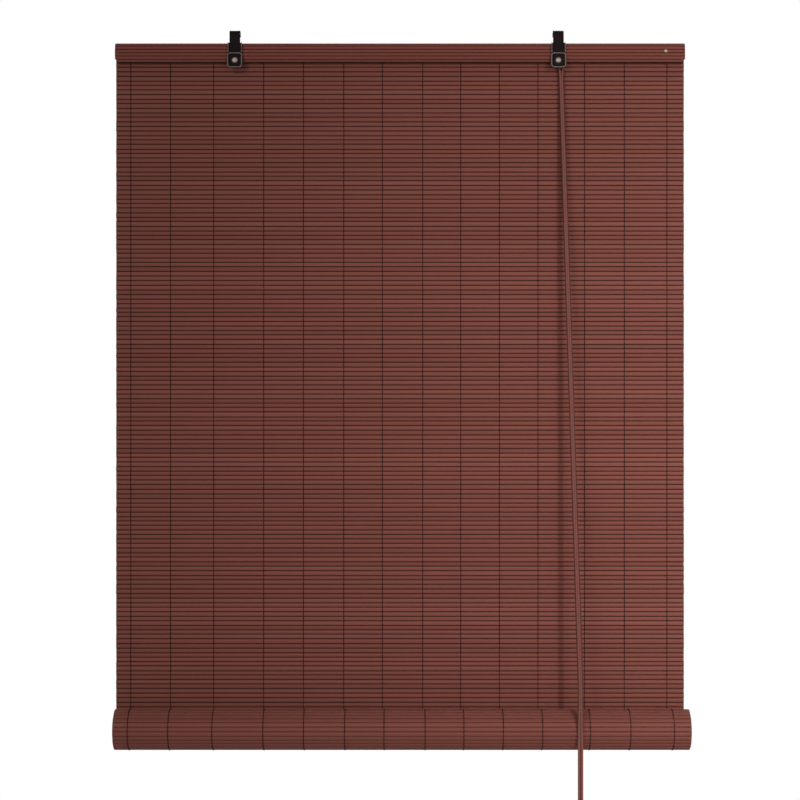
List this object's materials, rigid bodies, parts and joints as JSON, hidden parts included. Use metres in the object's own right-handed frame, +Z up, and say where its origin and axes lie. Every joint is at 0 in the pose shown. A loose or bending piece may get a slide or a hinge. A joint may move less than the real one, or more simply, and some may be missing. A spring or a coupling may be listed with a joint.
{
  "type": "bamboo roll up blind",
  "caption": "Window blind of flat stained bamboo slats woven with thread, folded over a head batten, partly wound into a roll at its foot, with hanging hooks and a doubled pull cord.",
  "frame": {"origin": "on the axis of the rail that both hooks hang on, midway along the blind", "axes": "+X along the slats to the viewer's right, +Y to the back, +Z up"},
  "size_m": [0.8027, 0.0733, 1.1509],
  "materials": {
    "stained_bamboo": "red-brown stain with a satin lacquer",
    "batten_wood": "red-brown stain",
    "warp_thread": "dark brown spun thread",
    "black_metal": "black paint, worn bright at the pressed edges",
    "bright_steel": "plated, slightly warm",
    "pull_cord": "braided cord"
  },
  "bodies": {
    "head": {"head_batten": "batten_wood", "head_wrap": "stained_bamboo", "slat_mat": "stained_bamboo", "warp_thread_01": "warp_thread", "warp_thread_02": "warp_thread", "warp_thread_03": "warp_thread", "warp_thread_04": "warp_thread", "warp_thread_05": "warp_thread", "warp_thread_06": "warp_thread", "warp_thread_07": "warp_thread", "warp_thread_08": "warp_thread", "warp_thread_09": "warp_thread", "warp_thread_10": "warp_thread", "warp_thread_11": "warp_thread", "warp_thread_12": "warp_thread", "warp_thread_13": "warp_thread", "warp_thread_14": "warp_thread", "left_hook_strap": "black_metal", "left_hook_bracket": "black_metal", "left_cup_plate": "black_metal", "left_hook_screw": "bright_steel", "right_hook_strap": "black_metal", "right_hook_bracket": "black_metal", "right_cup_plate": "black_metal", "right_hook_screw": "bright_steel", "head_nail": "bright_steel", "cord_eye": "black_metal", "pull_cord_upper_left": "pull_cord", "pull_cord_upper_right": "pull_cord"},
    "roll": {"slat_roll": "stained_bamboo", "bottom_rod": "batten_wood", "roll_thread_01": "warp_thread", "roll_thread_02": "warp_thread", "roll_thread_03": "warp_thread", "roll_thread_04": "warp_thread", "roll_thread_05": "warp_thread", "roll_thread_06": "warp_thread", "roll_thread_07": "warp_thread", "roll_thread_08": "warp_thread", "roll_thread_09": "warp_thread", "roll_thread_10": "warp_thread", "roll_thread_11": "warp_thread", "roll_thread_12": "warp_thread", "roll_thread_13": "warp_thread", "roll_thread_14": "warp_thread", "pull_cord_lower_left": "pull_cord", "pull_cord_lower_right": "pull_cord", "cord_pull": "batten_wood"}
  },
  "joints": [
    {"name": "roll_lift", "type": "slide", "parent": "head", "child": "roll", "axis": [0, 0, 1], "range_m": [0, 0.87], "deforming": ["slat_mat", "warp_thread_01", "warp_thread_02", "warp_thread_03", "warp_thread_04", "warp_thread_05", "warp_thread_06", "warp_thread_07", "warp_thread_08", "warp_thread_09", "warp_thread_10", "warp_thread_11", "warp_thread_12", "warp_thread_13", "warp_thread_14", "pull_cord_upper_left", "pull_cord_upper_right"]}
  ]
}
